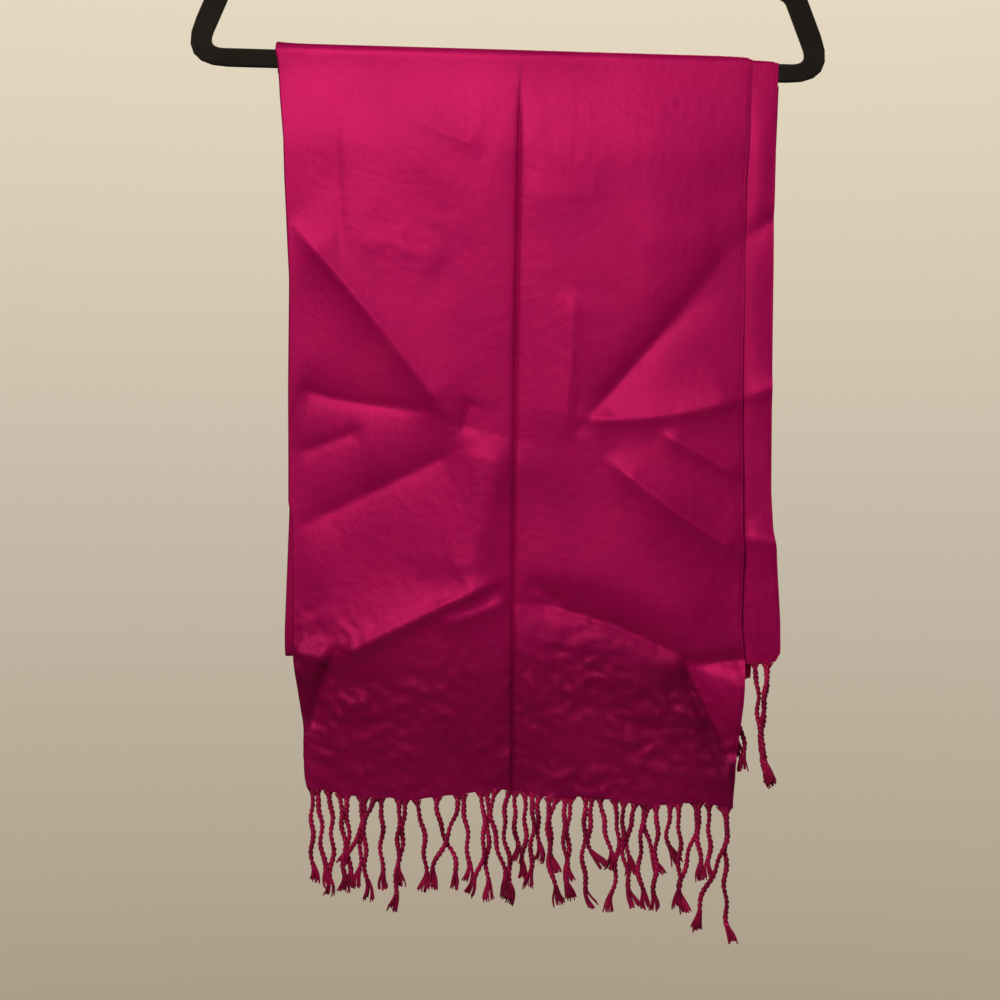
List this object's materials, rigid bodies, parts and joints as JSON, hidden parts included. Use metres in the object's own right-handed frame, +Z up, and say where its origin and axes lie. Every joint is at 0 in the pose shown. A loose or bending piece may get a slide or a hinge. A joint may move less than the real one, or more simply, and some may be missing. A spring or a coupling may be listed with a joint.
{
  "type": "scarf on a clothes hanger",
  "caption": "Fringed woven scarf, folded along its length and then end to end, hung over the trouser bar of a slim flocked hanger.",
  "frame": {"origin": "underside of the hanger's hook, where it rests on a rail", "axes": "+X to the right seen from the front, +Z up, the front of the scarf faces -Y"},
  "size_m": [0.4484, 0.0355, 0.8491],
  "materials": {
    "scarf_cloth": "soft satin-like twill with a light sheen",
    "fringe_yarn": "twisted matte yarn",
    "hanger_flock": "flocked charcoal",
    "hook_metal": "polished wire"
  },
  "bodies": {
    "root": {"hanger_body": "hanger_flock", "hanger_hook": "hook_metal", "long_end": "scarf_cloth", "short_end": "scarf_cloth", "back_loop": "scarf_cloth", "long_fringe": "fringe_yarn", "short_fringe": "fringe_yarn"}
  },
  "joints": []
}
